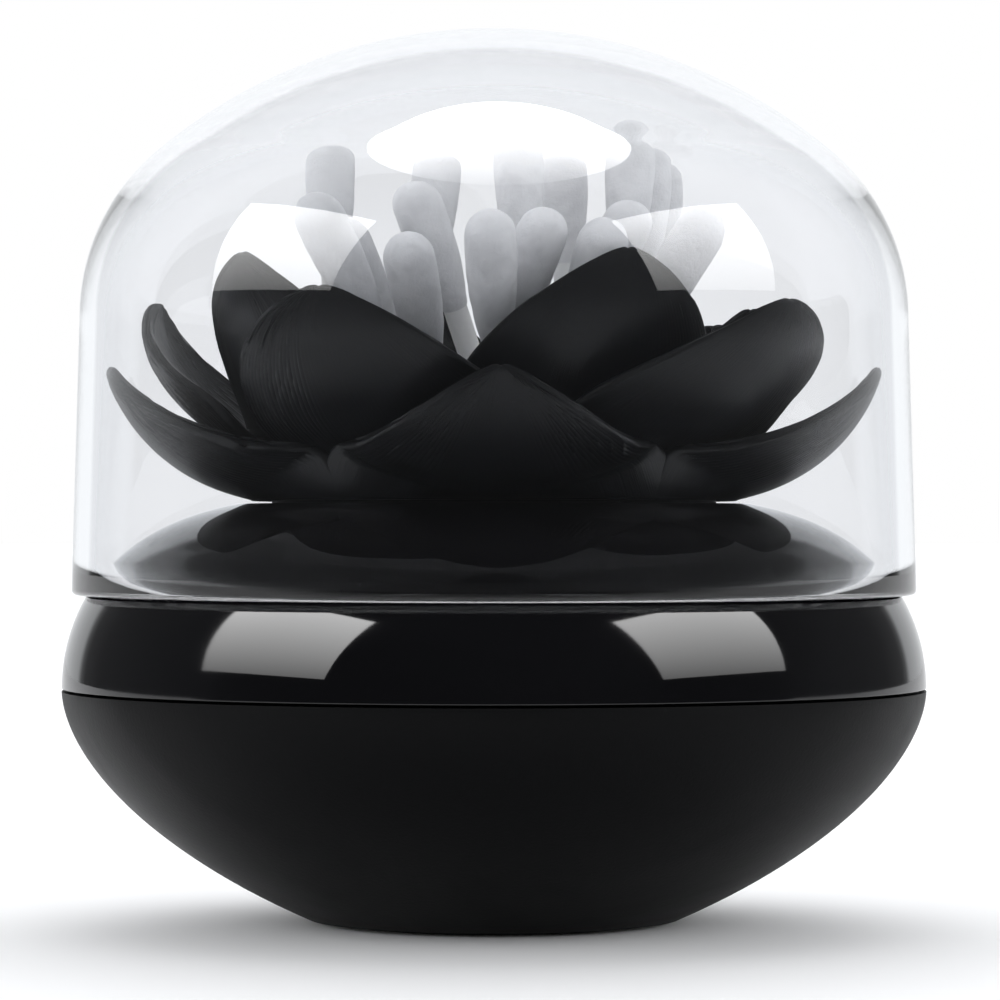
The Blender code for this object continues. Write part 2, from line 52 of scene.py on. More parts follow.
# Body
BODY_R = 43.5
SEAM_Z = 23.5
SEAM_LINE = 0.3
SHELL_RISE = 19.9
SHELL_FULLNESS = 4.3
SHELL_WALL = 2.0
SHELL_STEPS = 40
BOWL_DEPTH = 28.6
BOWL_FULLNESS = 1.38
BOWL_FLATNESS = 1.77
BOWL_WALL = 2.2
BOWL_STEPS = 44
BOWL_SHELF = 1.5  # how far the wall thickens inwards below the snap lip
FLOOR_SLOPE = 1.8
LIP_HEIGHT = 2.6
LIP_WALL = 1.3
SNAP_DEPTH = 0.5
SNAP_RISE = 1.3
SNAP_HALF = 0.5
EDGE_SUPPORT = 0.1  # height of a narrow band that keeps the shading even down to an edge
CORNER_ROOM = 1.0  # how far from another wall a wall's inner curve ends

# Foot
FOOT_LIFT = 0.4
PAD_R = 16.2
PAD_T = 1.0
FLOOR_T = 2.0

# Swab cup
CUP_R = 21.0
CUP_DRAFT = 0.4
CUP_WALL = 1.5
CUP_CORNER = 1.5
CUP_CHAMFER = 0.8
CUP_LIFT = 1.0
CUP_FLANGE_T = 1.2
CENTRING_WALL = 1.4
CENTRING_GRIP = 2.6
COLLAR_WALL = 1.4
COLLAR_DEPTH = 5.0

# Flower
RING_W = 2.2
RING_TAPER = 0.25
RING_HEIGHTS = {"outer": 1.8, "middle": 4.0, "inner": 2.0}
PETAL_T = 1.3
PETAL_TIP_T = 1.0
PETAL_HALF_WIDTHS = {"outer": 16.0, "middle": 15.6, "inner": 16.0}
ROOT_DROP = 0.45
OUTER_TIP_RISE = 12.8  # height of the outer petals' tips over the foot of their ring
PETAL_COLUMNS = 236
PETAL_ROWS = 32
ROW_CROWDING = 1.6  # above 1, the rows stand closer together towards the tip
RIBS = 52  # across one petal
RIB_HEIGHT = 0.075
RIBLESS_TIP = 3.0  # the ribs die down where half the petal is narrower than this
FULL_WIDTH_AT = 0.35  # share of a petal's length over which its root's width turns into the full one
EDGE_ROUND = 0.55  # how far in from its outline a petal's edge starts to round over
EDGE_LEAST = 0.22  # share of the wall that is left at the outline itself

# Swabs
SWABS = 16
HEAD_R = 2.5
HEAD_LENGTH = 15.0
HEAD_DOME = 2.9
HEAD_ROUNDNESS = 2.1
HEAD_TAPER = 2.3
TAPER_FROM = 4.0
WINDING_EDGE = 0.12  # thickness of the cotton where it ends on the stick
STICK_R = 1.2
SWAB_LENGTH = 73.0
SWAB_STEPS = 40
SWAB_TURN = 137  # degrees from one swab to the next, so that no two show the same side
TUFT_SIZE = 1.6
TUFT_HEIGHT = 0.16
COTTON_SHADE_DEEPEST_Z = 52.0  # painted shade on the cotton is deepest up to this height
COTTON_SHADE_ENDS_Z = 80.0  # and the painted shade is gone from this one

# Where a swab's head passes into its stick, measured back from HEAD_LENGTH
TUFTS_END = 0.6
WINDING_ENDS = 0.5
PAPER_STARTS = 0.4
STICK_STARTS = 0.35

# Lid
HEADROOM = 4.9
CROWN_T = 4.0
CROWN_R = 52.8
CROWN_INNER_R = 53.3
CROWN_STEPS = 44
SHOULDER_R = 21.7
SHOULDER_INNER_R = 18.5
SHOULDER_STEPS = 30
SHOULDER_WALL = 2.4  # where the shoulder starts, from where the wall grows evenly to the crown
LID_DRAFT = 0.8
LID_WALL = 2.05  # at the rim
LID_WALL_STEPS = 14
LID_STEPS = 160
RIM_Z = 33.0
RIM_ROUND = 0.5
RIM_SEAT = 1.5
SEAT_GAP = 1.3 * FIT
RIM_OVERHANG = 1.54  # how far the rim's outside stands out beyond the shell that carries it


def shell_r(z):
    """Radius of the gloss shell's outside at a height."""
    rise = (z - SEAM_Z) / SHELL_RISE
    return BODY_R * max(1 - rise * rise, 0) ** (1 / SHELL_FULLNESS)


def shell_z(r):
    """Height of the gloss shell's outside at a radius."""
    return SEAM_Z + SHELL_RISE * math.sqrt(1 - (r / BODY_R) ** SHELL_FULLNESS)


def bowl_r(z):
    """Radius of the matt bowl's outside at a height."""
    drop = (SEAM_Z - z) / BOWL_DEPTH
    return BODY_R * (1 - drop**BOWL_FLATNESS) ** (1 / BOWL_FULLNESS)


def arc(centre, radius, start, end, steps):
    """Points of an arc in the profile plane, with angles in degrees from the outward direction."""
    angles = np.radians(np.linspace(start, end, steps + 1))
    return [(centre[0] + radius * math.cos(a), centre[1] + radius * math.sin(a)) for a in angles]


def line(start, end, steps):
    """Evenly spaced points from start to just before end."""
    shares = [i / steps for i in range(steps)]
    return [(start[0] + (end[0] - start[0]) * s, start[1] + (end[1] - start[1]) * s) for s in shares]


def offset_inwards(points, distance):
    """A profile that runs from the bottom up, moved towards the axis side by a wall's thickness."""
    moved = []
    for i, (r, z) in enumerate(points):
        before, after = points[max(i - 1, 0)], points[min(i + 1, len(points) - 1)]
        along = Vector((after[0] - before[0], after[1] - before[1])).normalized()
        moved.append((r - along.y * distance, z + along.x * distance))
    return moved


# Places that follow from the sizes
PARTING_LOW = SEAM_Z - SEAM_LINE / 2
PARTING_HIGH = SEAM_Z + SEAM_LINE / 2
CUP_OUTER_R = CUP_R + CUP_WALL
RING_R = CUP_OUTER_R + FIT
RING_OUTER_R = RING_R + RING_W
SEAT_R = RING_OUTER_R + 2 * FIT
SEAT_Z = shell_z(SEAT_R)
RECESS_TOP = PAD_T + FIT
BOWL_FLOOR = RECESS_TOP + FLOOR_T
PETAL_ROOT_R = RING_OUTER_R - PETAL_T / 2
FLANGE_R = PETAL_ROOT_R - PETAL_T / 2 - FIT
CENTRING_OUTER_R = CUP_OUTER_R + FIT + CENTRING_WALL
RING_BASE = {}
stack_z = SEAT_Z + FIT
for ring_name, ring_height in RING_HEIGHTS.items():
    RING_BASE[ring_name] = stack_z
    stack_z += ring_height + FIT
FLANGE_Z = stack_z
CUP_MOUTH = FLANGE_Z + CUP_FLANGE_T


def crowded_heights(low, high, steps):
    """Heights from low to high that stand closer together towards the high end."""
    shares = [math.sin(math.radians(90 * i / steps)) for i in range(steps + 1)]
    return [low + (high - low) * s for s in shares]


def bowl_outer_curve():
    return [(bowl_r(z), z) for z in crowded_heights(FOOT_LIFT, PARTING_LOW, BOWL_STEPS)]


def bowl_inner_curve():
    inside = offset_inwards(bowl_outer_curve(), BOWL_WALL)
    return [p for p in inside if BOWL_FLOOR < p[1] < PARTING_LOW - LIP_HEIGHT]


def bowl_inner_z(r):
    """Height of the bowl's inside at a radius."""
    inside = bowl_inner_curve()
    return float(np.interp(r, [p[0] for p in inside], [p[1] for p in inside]))


CUP_BASE = bowl_inner_z(CENTRING_OUTER_R) + CUP_LIFT
CUP_FLOOR = CUP_BASE + CUP_WALL
LID_TOP = CUP_FLOOR + SWAB_LENGTH + HEADROOM + CROWN_T
LID_R = shell_r(RIM_Z) + RIM_OVERHANG
LIP_R = shell_r(PARTING_LOW + LIP_HEIGHT) - SHELL_WALL - FIT


def lid_curve(wall_r, top, crown_r, shoulder_r):
    """The lid's shoulder and crown, from the wall up to the axis, as two arcs that run on smoothly."""
    shoulder_x = wall_r - shoulder_r
    crown_z = top - crown_r
    apart = crown_r - shoulder_r
    shoulder_z = crown_z + math.sqrt(apart * apart - shoulder_x * shoulder_x)
    turn = math.degrees(math.atan2(shoulder_z - crown_z, shoulder_x))
    shoulder = arc((shoulder_x, shoulder_z), shoulder_r, 0, turn, SHOULDER_STEPS)
    crown = arc((0, crown_z), crown_r, turn, 90, CROWN_STEPS)
    crown[-1] = (0.0, top)
    return shoulder + crown[1:]


def lid_inner_curve():
    """The inside of the lid's shoulder and crown, from the wall up to the axis."""
    return lid_curve(LID_R - LID_DRAFT - SHOULDER_WALL, LID_TOP - CROWN_T, CROWN_INNER_R, SHOULDER_INNER_R)


def lid_profile():
    """From the crown's top down the outside, round the rim and its seat, and up the inside to the axis."""
    outside = lid_curve(LID_R - LID_DRAFT, LID_TOP, CROWN_R, SHOULDER_R)[::-1]
    wall = line(outside[-1], (LID_R, RIM_Z + RIM_ROUND), LID_WALL_STEPS)[1:]
    rim = arc((LID_R - RIM_ROUND, RIM_Z + RIM_ROUND), RIM_ROUND, 0, -90, steps=6)
    inside = lid_inner_curve()
    seat = [(shell_r(RIM_Z) + SEAT_GAP, RIM_Z)]
    seat_high = (LID_R - LID_WALL, RIM_Z + RIM_SEAT)
    return outside + wall + rim + seat + line(seat_high, inside[0], LID_WALL_STEPS) + inside


def shell_profile():
    """The gloss shell: rounded outside, petals' seat, the cup's sleeve, and the skirt with its groove."""
    outside = [(shell_r(z), z) for z in crowded_heights(PARTING_HIGH, SEAT_Z, SHELL_STEPS)]
    outside[-1] = (SEAT_R, SEAT_Z)
    support_z = PARTING_HIGH + EDGE_SUPPORT
    outside.insert(1, (shell_r(support_z), support_z))
    inside = offset_inwards(outside, SHELL_WALL)
    lip_top = PARTING_LOW + LIP_HEIGHT
    skirt_r = LIP_R + FIT
    groove = PARTING_LOW + SNAP_RISE
    snap = [
        (skirt_r, PARTING_HIGH),
        (skirt_r, groove - SNAP_HALF - FIT),
        (skirt_r + SNAP_DEPTH, groove),
        (skirt_r, groove + SNAP_HALF + FIT),
        (skirt_r, lip_top + FIT),
    ]
    collar_r = RING_R + COLLAR_WALL
    under = [p for p in inside if p[1] > lip_top + CORNER_ROOM and p[0] > collar_r + CORNER_ROOM]
    top = SEAT_Z - SHELL_WALL
    foot = top - COLLAR_DEPTH
    collar = [(collar_r, top), (collar_r, foot), (RING_R, foot), (RING_R, SEAT_Z)]
    return outside[::-1] + snap + under + collar + [outside[-1]]


def bowl_profile():
    """The matt bowl: the pad's recess, rounded outside, snap lip, inside, and the cup's centring ring."""
    lip_top = PARTING_LOW + LIP_HEIGHT
    bead = PARTING_LOW + SNAP_RISE
    recess_r = PAD_R + FIT
    foot = [(0, RECESS_TOP), (recess_r, RECESS_TOP), (recess_r, FOOT_LIFT)]
    lip = [
        (LIP_R, PARTING_LOW),
        (LIP_R, bead - SNAP_HALF),
        (LIP_R + SNAP_DEPTH, bead),
        (LIP_R, bead + SNAP_HALF),
        (LIP_R, lip_top),
        (LIP_R - LIP_WALL, lip_top),
    ]
    inside = [p for p in bowl_inner_curve()[::-1] if p[0] > CENTRING_OUTER_R + CORNER_ROOM]
    shelf = [(LIP_R - LIP_WALL, inside[0][1] + BOWL_SHELF)]
    ring_top = CUP_BASE + CENTRING_GRIP
    ring_r = CENTRING_OUTER_R - CENTRING_WALL
    ring = [
        (CENTRING_OUTER_R, bowl_inner_z(CENTRING_OUTER_R)),
        (CENTRING_OUTER_R, ring_top),
        (ring_r, ring_top),
        (ring_r, bowl_inner_z(ring_r)),
    ]
    lowest = bowl_inner_curve()[0]
    floor = [(lowest[0] - (lowest[1] - BOWL_FLOOR) * FLOOR_SLOPE, BOWL_FLOOR), (0, BOWL_FLOOR)]
    return foot + bowl_outer_curve() + lip + shelf + inside + ring + floor


def cup_profile():
    """The swab cup: drafted wall, rounded inner corner, and the flange that holds the petal rings down."""
    floor_r = CUP_R - CUP_DRAFT
    foot_r = floor_r + CUP_WALL
    corner = arc((floor_r - CUP_CORNER, CUP_FLOOR + CUP_CORNER), CUP_CORNER, -90, 0, steps=8)
    inside = [(0, CUP_FLOOR)] + corner + line(corner[-1], (CUP_R, CUP_MOUTH), steps=8)[1:]
    flange = [(CUP_R, CUP_MOUTH), (FLANGE_R, CUP_MOUTH), (FLANGE_R, FLANGE_Z), (CUP_OUTER_R, FLANGE_Z)]
    foot = [(foot_r, CUP_BASE + CUP_CHAMFER), (foot_r - CUP_CHAMFER, CUP_BASE), (0, CUP_BASE)]
    return inside + flange + foot


def pad_profile():
    chamfer = 0.2
    return [(0, 0), (PAD_R - chamfer, 0), (PAD_R, chamfer), (PAD_R, PAD_T), (0, PAD_T)]


def swab_profile():
    """One swab along +Z from its lower end: domed cotton head, paper stick, and the other head."""
    taper_to = HEAD_LENGTH - WINDING_ENDS
    dome_steps = 12
    taper_steps = 15
    half = [(0.0, 0.0)]
    for i in range(1, dome_steps + 1):
        z = HEAD_DOME * (1 - math.cos(math.radians(90 * i / dome_steps)))
        half.append((HEAD_R * (1 - (1 - z / HEAD_DOME) ** HEAD_ROUNDNESS) ** (1 / HEAD_ROUNDNESS), z))
    for z in np.linspace(HEAD_DOME, taper_to, taper_steps + 1)[1:]:
        share = max((z - TAPER_FROM) / (taper_to - TAPER_FROM), 0)
        half.append((HEAD_R - (HEAD_R - STICK_R - WINDING_EDGE) * share**HEAD_TAPER, float(z)))
    half.append((STICK_R, HEAD_LENGTH - STICK_STARTS))
    other = [(r, SWAB_LENGTH - z) for r, z in half[::-1]]
    return half + line(half[-1], other[0], steps=6)[1:] + other


# Modelling steps


def start_fresh():
    """Back to object mode with nothing selected, because an operator acts on all that is selected."""
    if bpy.context.mode != "OBJECT":
        bpy.ops.object.mode_set(mode="OBJECT")
    bpy.ops.object.select_all(action="DESELECT")


def pick(piece):
    start_fresh()
    piece.select_set(True)
    bpy.context.view_layer.objects.active = piece


def draw_profile(name, points):
    """An edge line in the XZ plane, pulled out point by point from a single vertex. Leaves edit mode on."""
    start_fresh()
    bpy.ops.mesh.primitive_plane_add(size=MM, location=(0, 0, 0))
    piece = bpy.context.object
    piece.name = piece.data.name = name
    bpy.ops.object.mode_set(mode="EDIT")
    bpy.ops.mesh.merge(type="CENTER")
    bpy.ops.transform.translate(value=(points[0][0] * MM, 0, points[0][1] * MM))
    for (r, z), (next_r, next_z) in zip(points, points[1:]):
        step = ((next_r - r) * MM, 0, (next_z - z) * MM)
        bpy.ops.mesh.extrude_vertices_move(TRANSFORM_OT_translate={"value": step})
    return piece


def turn_profile(name, points, steps=TURN_STEPS, rounding=0.0):
    """A profile spun about the Z axis into a closed piece, with its sharp edges rounded."""
    piece = draw_profile(name, points)
    bpy.ops.mesh.select_all(action="SELECT")
    bpy.ops.mesh.remove_doubles(threshold=MERGE)
    bpy.ops.mesh.spin(steps=steps, angle=math.tau, center=(0, 0, 0), axis=(0, 0, 1))
    bpy.ops.mesh.select_all(action="SELECT")
    bpy.ops.mesh.remove_doubles(threshold=MERGE)
    bpy.ops.mesh.normals_make_consistent(inside=False)
    bpy.ops.object.mode_set(mode="OBJECT")
    if rounding:
        round_edges(piece, rounding)
    smooth(piece)
    return piece


def apply_modifier(piece, modifier):
    pick(piece)
    bpy.ops.object.modifier_apply(modifier=modifier.name)


def round_edges(piece, width):
    bevel = piece.modifiers.new("Rounded edges", "BEVEL")
    bevel.width = width * MM
    bevel.segments = 2
    bevel.limit_method = "ANGLE"
    bevel.angle_limit = math.radians(32)
    apply_modifier(piece, bevel)


def smooth(piece, angle=50):
    pick(piece)
    bpy.ops.object.shade_smooth_by_angle(angle=math.radians(angle))


def fit_piece(piece, body, nodes, materials):
    """Gives a finished piece its finish and its body, and hides the CAD nodes that it stands for."""
    piece.data.materials.clear()
    for material in materials:
        piece.data.materials.append(material)
    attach(piece, body)
    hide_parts(*nodes)


# Flower


class Petal:
    """What sets one petal apart from the others in its ring.

    It points to its azimuth, and its tip turns aside by some degrees and droops by some millimetres. Its
    breadth, and the strength of its ribs on the clockwise side and on the other, are shares of the usual.
    """

    def __init__(self, azimuth, turn=0.0, broad=1.0, droop=0.0, ribs=(0.9, 0.9)):
        self.azimuth = azimuth
        self.turn = turn
        self.broad = broad
        self.droop = droop
        self.ribs = ribs


class Tier:
    """One ring of petals. A petal's middle line is a curve from its root in the ring to its tip.

    The reach gives the curve's two handles and its tip as steps outwards and upwards from the root.
    """

    def __init__(self, name, petals, reach, taper, tip_power, hollow, root_fade, root_width=0.78):
        self.name = name
        self.petals = petals
        self.half_width = PETAL_HALF_WIDTHS[name]
        self.taper = taper
        self.tip_power = tip_power
        self.hollow = hollow
        self.root_fade = root_fade
        self.root_width = root_width
        root = np.array((PETAL_ROOT_R, RING_BASE[name] + RING_HEIGHTS[name] - ROOT_DROP - PETAL_T / 2))
        a, b, c, d = [root] + [root + np.array(step) for step in reach]
        t = np.linspace(0, 1, 201)[:, None]
        s = 1 - t
        self.fine = a * s**3 + 3 * b * s * s * t + 3 * c * s * t * t + d * t**3
        run = np.concatenate([[0], np.cumsum(np.linalg.norm(np.diff(self.fine, axis=0), axis=1))])
        self.length = run[-1]
        self.run = run / run[-1]

    def middle(self, t):
        """Points of the middle line at shares of its length, and the upward directions square to it."""
        point, ahead, behind = (
            np.stack([np.interp(np.clip(t + step, 0, 1), self.run, self.fine[:, k]) for k in (0, 1)], -1)
            for step in (0, 0.01, -0.01)
        )
        along = (ahead - behind) / np.linalg.norm(ahead - behind, axis=-1, keepdims=True)
        return point, np.stack([-along[..., 1], along[..., 0]], -1)

    def width(self, t):
        """Half the petal's width at shares of its length."""
        widened = np.sin(np.minimum(t / FULL_WIDTH_AT, 1) * math.pi / 2)
        root = self.root_width + (1 - self.root_width) * widened
        return self.half_width * root * np.maximum(1 - t**self.taper, 0) ** self.tip_power


def smoothstep(low, high, value):
    share = np.clip((value - low) / (high - low), 0, 1)
    return share * share * (3 - 2 * share)


def rib_height(petal, across, t):
    """Fine ribs that run from root to tip, strongest near a petal's sides and fading towards its middle."""
    drift = 0.010 * np.sin(5 * across + petal.azimuth) + 0.008 * np.sin(9 * t + 3 * across)
    wave = np.cos((across + drift) * RIBS * math.pi)
    side = np.where(across > 0, petal.ribs[1], petal.ribs[0])
    uneven = 0.7 + 0.3 * np.sin(across * 17 + petal.azimuth * 0.7) * np.sin(across * 41)
    sides = smoothstep(0.2, 0.6, np.abs(across)) * smoothstep(0.1, 0.35, t)
    return RIB_HEIGHT * wave * side * uneven * np.maximum(sides, 0.3 * smoothstep(0.75, 0.95, t))


def outer_tip_reach():
    """How far the outer petals' tips stand out from their root, so that they clear the lid."""
    curve = [(LID_R - LID_WALL, RIM_Z)] + lid_inner_curve()
    tip_r = np.interp(RING_BASE["outer"] + OUTER_TIP_RISE, [p[1] for p in curve], [p[0] for p in curve])
    return float(tip_r) - TIP_GAP - PETAL_TIP_T / 2 - PETAL_ROOT_R


OUTER_REACH = outer_tip_reach()
TIERS = [
    Tier(
        "outer",
        petals=[
            Petal(57),
            Petal(126),
            Petal(195, ribs=(2.0, 2.0)),
            Petal(271, broad=1.06, droop=0.6),
            Petal(346),
        ],
        reach=[(6.3, 0.9), (OUTER_REACH - 1.9, 5.2), (OUTER_REACH, 12.2)],
        taper=1.45,
        tip_power=0.75,
        hollow=0.016,
        root_fade=0.14,
        root_width=1.12,
    ),
    Tier(
        "middle",
        petals=[
            Petal(173, ribs=(1.6, 1.6)),
            Petal(246, turn=-3.5, ribs=(1.9, 0.2)),
            Petal(315, turn=8.0, broad=1.06, droop=0.8, ribs=(0.15, 1.0)),
            Petal(38),
            Petal(106),
        ],
        reach=[(5.6, 2.6), (12.6, 8.4), (10.6, 15.0)],
        taper=2.6,
        tip_power=0.75,
        hollow=0.006,
        root_fade=0.45,
    ),
    Tier(
        "inner",
        petals=[
            Petal(33, droop=6.5),
            Petal(117),
            Petal(211, turn=-4.5, broad=1.12),
            Petal(292, turn=5.5, broad=0.9, droop=0.4, ribs=(0.1, 0.2)),
        ],
        reach=[(0.3, 2.6), (6.3, 9.3), (3.0, 17.2)],
        taper=2.2,
        tip_power=0.8,
        hollow=0.004,
        root_fade=0.45,
    ),
]


def make_petal(tier, petal):
    """A flat grid laid along the petal's middle line and bent round it, then given its wall and edge."""
    start_fresh()
    bpy.ops.mesh.primitive_grid_add(x_subdivisions=PETAL_COLUMNS, y_subdivisions=PETAL_ROWS, size=2)
    sheet = bpy.context.object
    mesh = sheet.data
    flat = np.empty(len(mesh.vertices) * 3)
    mesh.vertices.foreach_get("co", flat)
    flat = flat.reshape(-1, 3)
    across = flat[:, 0]
    t = 1 - (1 - (flat[:, 1] + 1) / 2) ** ROW_CROWDING
    t[flat[:, 1] > 0.9999] = 1.0

    middle, square = tier.middle(t)
    half = tier.width(t) * petal.broad
    wide = across * half
    grown = np.minimum(t / tier.root_fade, 1)
    off = tier.hollow * wide**2 * grown * grown * (3 - 2 * grown)
    off += rib_height(petal, across, t) * np.minimum(half / RIBLESS_TIP, 1)
    angle = np.radians(petal.azimuth + petal.turn * t * t) + wide / middle[:, 0]
    radius = middle[:, 0] + square[:, 0] * off
    height = middle[:, 1] + square[:, 1] * off - petal.droop * t * t
    placed = np.stack([radius * np.cos(angle), radius * np.sin(angle), height], -1) * MM
    mesh.vertices.foreach_set("co", placed.ravel())
    mesh.update()

    from_edge = np.minimum((1 - np.abs(across)) * half, (1 - t) * tier.length)
    edge = 1 - np.clip(from_edge / EDGE_ROUND, 0, 1)
    rounded = np.maximum(np.sqrt(1 - edge * edge), EDGE_LEAST)
    wall = (PETAL_T + (PETAL_TIP_T - PETAL_T) * t) / PETAL_T * rounded
    group = sheet.vertex_groups.new(name="wall")
    for i, weight in enumerate(wall):
        group.add([i], float(weight), "REPLACE")

    bpy.ops.object.mode_set(mode="EDIT")
    bpy.ops.mesh.select_all(action="SELECT")
    bpy.ops.mesh.remove_doubles(threshold=MERGE)
    bpy.ops.mesh.normals_make_consistent(inside=False)
    bpy.ops.object.mode_set(mode="OBJECT")
    thickness = sheet.modifiers.new("Wall", "SOLIDIFY")
    thickness.thickness = PETAL_T * MM
    thickness.offset = 0
    thickness.vertex_group = "wall"
    thickness.thickness_vertex_group = 0
    apply_modifier(sheet, thickness)
    return sheet


def make_tier(tier):
    """A ring of petals moulded in one piece."""
    base = RING_BASE[tier.name]
    top = base + RING_HEIGHTS[tier.name]
    low_r = RING_OUTER_R - RING_TAPER * RING_HEIGHTS[tier.name]
    profile = [(RING_R, base), (low_r, base), (RING_OUTER_R, top), (RING_R, top), (RING_R, base)]
    ring = turn_profile(f"{tier.name}_petal_ring", profile, rounding=0.15)
    petals = [make_petal(tier, petal) for petal in tier.petals]
    start_fresh()
    for petal in petals:
        petal.select_set(True)
    ring.select_set(True)
    bpy.context.view_layer.objects.active = ring
    bpy.ops.object.join()
    smooth(ring, angle=60)
    return ring


# Swabs


def swab_ends(node):
    """The two ends of a CAD swab, lower end first, from the main direction of its vertices."""
    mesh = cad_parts[node].data
    points = np.empty(len(mesh.vertices) * 3)
    mesh.vertices.foreach_get("co", points)
    points = np.unique(points.reshape(-1, 3).round(7), axis=0)
    centre = (points.max(0) + points.min(0)) / 2
    along = np.linalg.svd(points - points.mean(0), full_matrices=False)[2][0]
    if along[2] < 0:
        along = -along
    run = (points - centre) @ along
    on_axis = points.mean(0)
    shift = (run.max() + run.min()) / 2 - (on_axis - centre) @ along
    middle = on_axis + along * shift
    half = (run.max() - run.min()) / 2
    return Vector(middle - along * half), Vector(middle + along * half)


def make_swab_pattern():
    """The swab that all the others are copied from, with the stick's faces in a second material slot."""
    swab = turn_profile("swab_pattern", swab_profile(), steps=SWAB_STEPS)
    swab.data.materials.append(None)
    swab.data.materials.append(None)
    heads = swab.vertex_groups.new(name="cotton")
    for vertex in swab.data.vertices:
        from_end = min(vertex.co.z, SWAB_LENGTH * MM - vertex.co.z)
        if from_end < (HEAD_LENGTH - TUFTS_END) * MM:
            heads.add([vertex.index], 1.0, "REPLACE")
    for face in swab.data.polygons:
        from_end = min(face.center.z, SWAB_LENGTH * MM - face.center.z)
        face.material_index = 1 if from_end > (HEAD_LENGTH - PAPER_STARTS) * MM else 0
    return swab


def make_swabs(cotton, paper):
    tufts = bpy.data.textures.new("cotton_tufts", "CLOUDS")
    tufts.noise_scale = TUFT_SIZE * MM
    tufts.noise_depth = 2
    pattern = make_swab_pattern()
    for number in range(1, SWABS + 1):
        node = f"swab_{number:02d}"
        low, high = swab_ends(node)
        pick(pattern)
        bpy.ops.object.duplicate(linked=False)
        swab = bpy.context.object
        swab.name = swab.data.name = f"cotton_{node}"
        turn = (high - low).to_track_quat("Z", "Y").to_matrix().to_4x4()
        about = Matrix.Rotation(math.radians(SWAB_TURN * number), 4, "Z")
        swab.matrix_world = Matrix.Translation(low) @ turn @ about
        bpy.ops.object.transform_apply(location=True, rotation=True, scale=True)
        fluff = swab.modifiers.new("Tufts", "DISPLACE")
        fluff.texture = tufts
        fluff.texture_coords = "LOCAL"
        fluff.vertex_group = "cotton"
        fluff.strength = TUFT_HEIGHT * MM
        fluff.mid_level = 0.6
        apply_modifier(swab, fluff)
        swab.data.materials[0] = cotton
        swab.data.materials[1] = paper
        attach(swab, "base")
        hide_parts(node)
    bpy.data.objects.remove(pattern)


# Finishes


def add_node(tree, kind, **inputs):
    node = tree.nodes.new(kind)
    for name, value in inputs.items():
        node.inputs[name.replace("_", " ")].default_value = value
    return node


def new_group(name, inputs, outputs):
    """A shader node group with named sockets. Each is given as (name, type, default)."""
    group = bpy.data.node_groups.new(name, "ShaderNodeTree")
    for label, kind, default in inputs:
        socket = group.interface.new_socket(label, in_out="INPUT", socket_type=kind)
        if default is not None:
            socket.default_value = default
    for label, kind in outputs:
        group.interface.new_socket(label, in_out="OUTPUT", socket_type=kind)
    return group, group.nodes.new("NodeGroupInput"), group.nodes.new("NodeGroupOutput")


def make_grain_group():
    """Fine moulded grain: a mask from 0 to 1 and a normal."""
    group, source, result = new_group(
        "Moulded grain",
        [
            ("Place", "NodeSocketVector", None),
            ("Scale", "NodeSocketFloat", 3000.0),
            ("Depth", "NodeSocketFloat", 0.00002),
        ],
        [("Grain", "NodeSocketFloat"), ("Normal", "NodeSocketVector")],
    )
    noise = add_node(group, "ShaderNodeTexNoise", Detail=3.0, Roughness=0.6)
    bump = add_node(group, "ShaderNodeBump", Strength=1.0)
    group.links.new(source.outputs["Place"], noise.inputs["Vector"])
    group.links.new(source.outputs["Scale"], noise.inputs["Scale"])
    group.links.new(noise.outputs["Fac"], bump.inputs["Height"])
    group.links.new(source.outputs["Depth"], bump.inputs["Distance"])
    group.links.new(noise.outputs["Fac"], result.inputs["Grain"])
    group.links.new(bump.outputs["Normal"], result.inputs["Normal"])
    return group


def make_smudge_group():
    """Soft smudges from handling, as a mask from 0 to 1."""
    group, source, result = new_group(
        "Smudges from handling",
        [("Place", "NodeSocketVector", None), ("Scale", "NodeSocketFloat", 60.0)],
        [("Smudge", "NodeSocketFloat")],
    )
    smudge = add_node(group, "ShaderNodeTexNoise", Detail=4.0, Roughness=0.55, Distortion=0.6)
    spread = add_node(group, "ShaderNodeMapRange", From_Min=0.42, From_Max=0.68)
    group.links.new(source.outputs["Place"], smudge.inputs["Vector"])
    group.links.new(source.outputs["Scale"], smudge.inputs["Scale"])
    group.links.new(smudge.outputs["Fac"], spread.inputs["Value"])
    group.links.new(spread.outputs["Result"], result.inputs["Smudge"])
    return group


GRAIN = make_grain_group()
SMUDGES = make_smudge_group()


